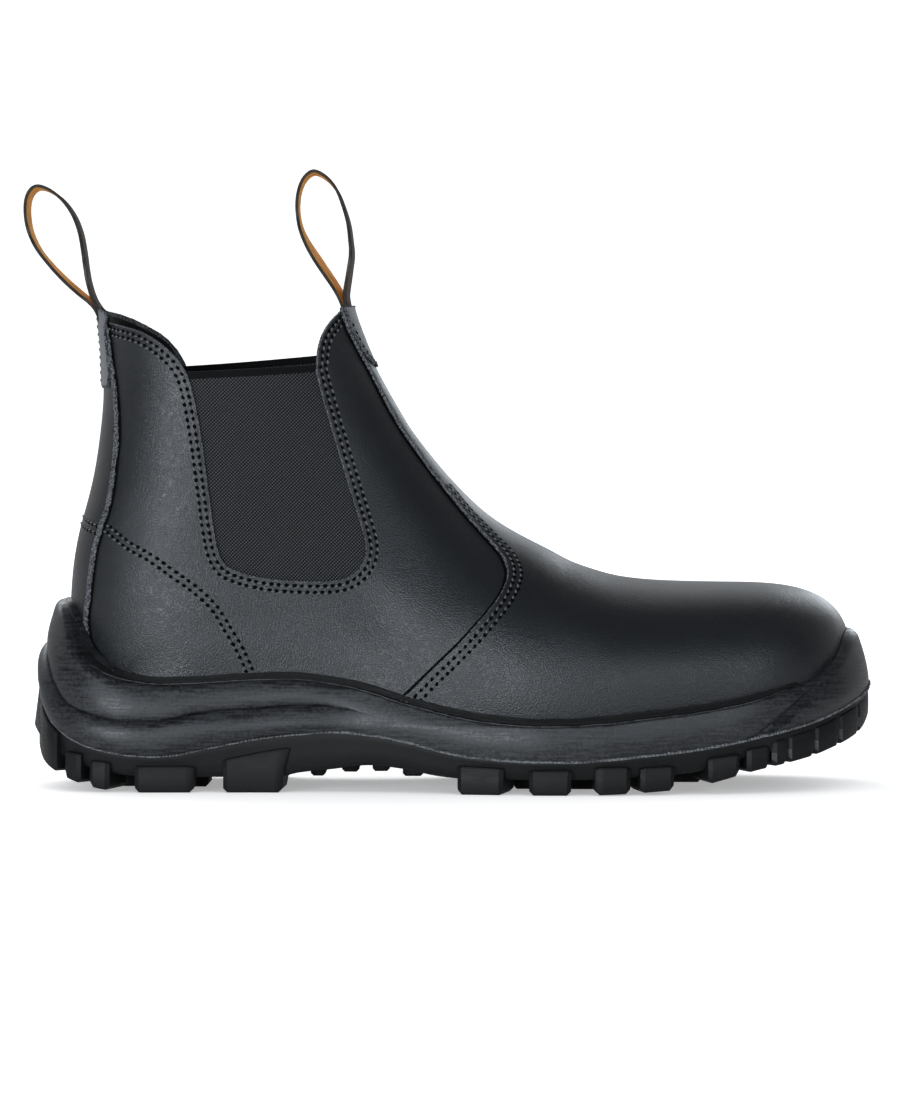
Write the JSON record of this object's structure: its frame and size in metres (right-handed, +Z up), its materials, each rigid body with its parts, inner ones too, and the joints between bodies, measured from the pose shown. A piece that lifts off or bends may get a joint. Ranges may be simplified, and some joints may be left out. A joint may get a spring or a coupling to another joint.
{
  "type": "safety boot",
  "caption": "Black leather pull-on safety boot for the right foot, with elastic side gores, webbing pull loops and a cleated rubber sole, standing empty.",
  "frame": {"origin": "on the floor, under the middle of the boot's box", "axes": "+X towards the toe, +Y towards the medial side, +Z up"},
  "size_m": [0.313, 0.1179, 0.2269],
  "materials": {
    "outsole_rubber": "matte black moulded rubber",
    "midsole_foam": "matte charcoal foamed polyurethane",
    "upper_leather": "satin black smooth leather",
    "gore_elastic": "matte black woven elastic",
    "insole_felt": "dark grey felt",
    "loop_webbing": "woven webbing, grey outside and orange inside"
  },
  "bodies": {
    "root": {"outsole": "outsole_rubber", "midsole": "midsole_foam", "upper": "upper_leather", "gore_lateral": "gore_elastic", "gore_medial": "gore_elastic", "insole": "insole_felt", "pull_loop_rear": "loop_webbing", "pull_loop_front": "loop_webbing"}
  },
  "joints": []
}
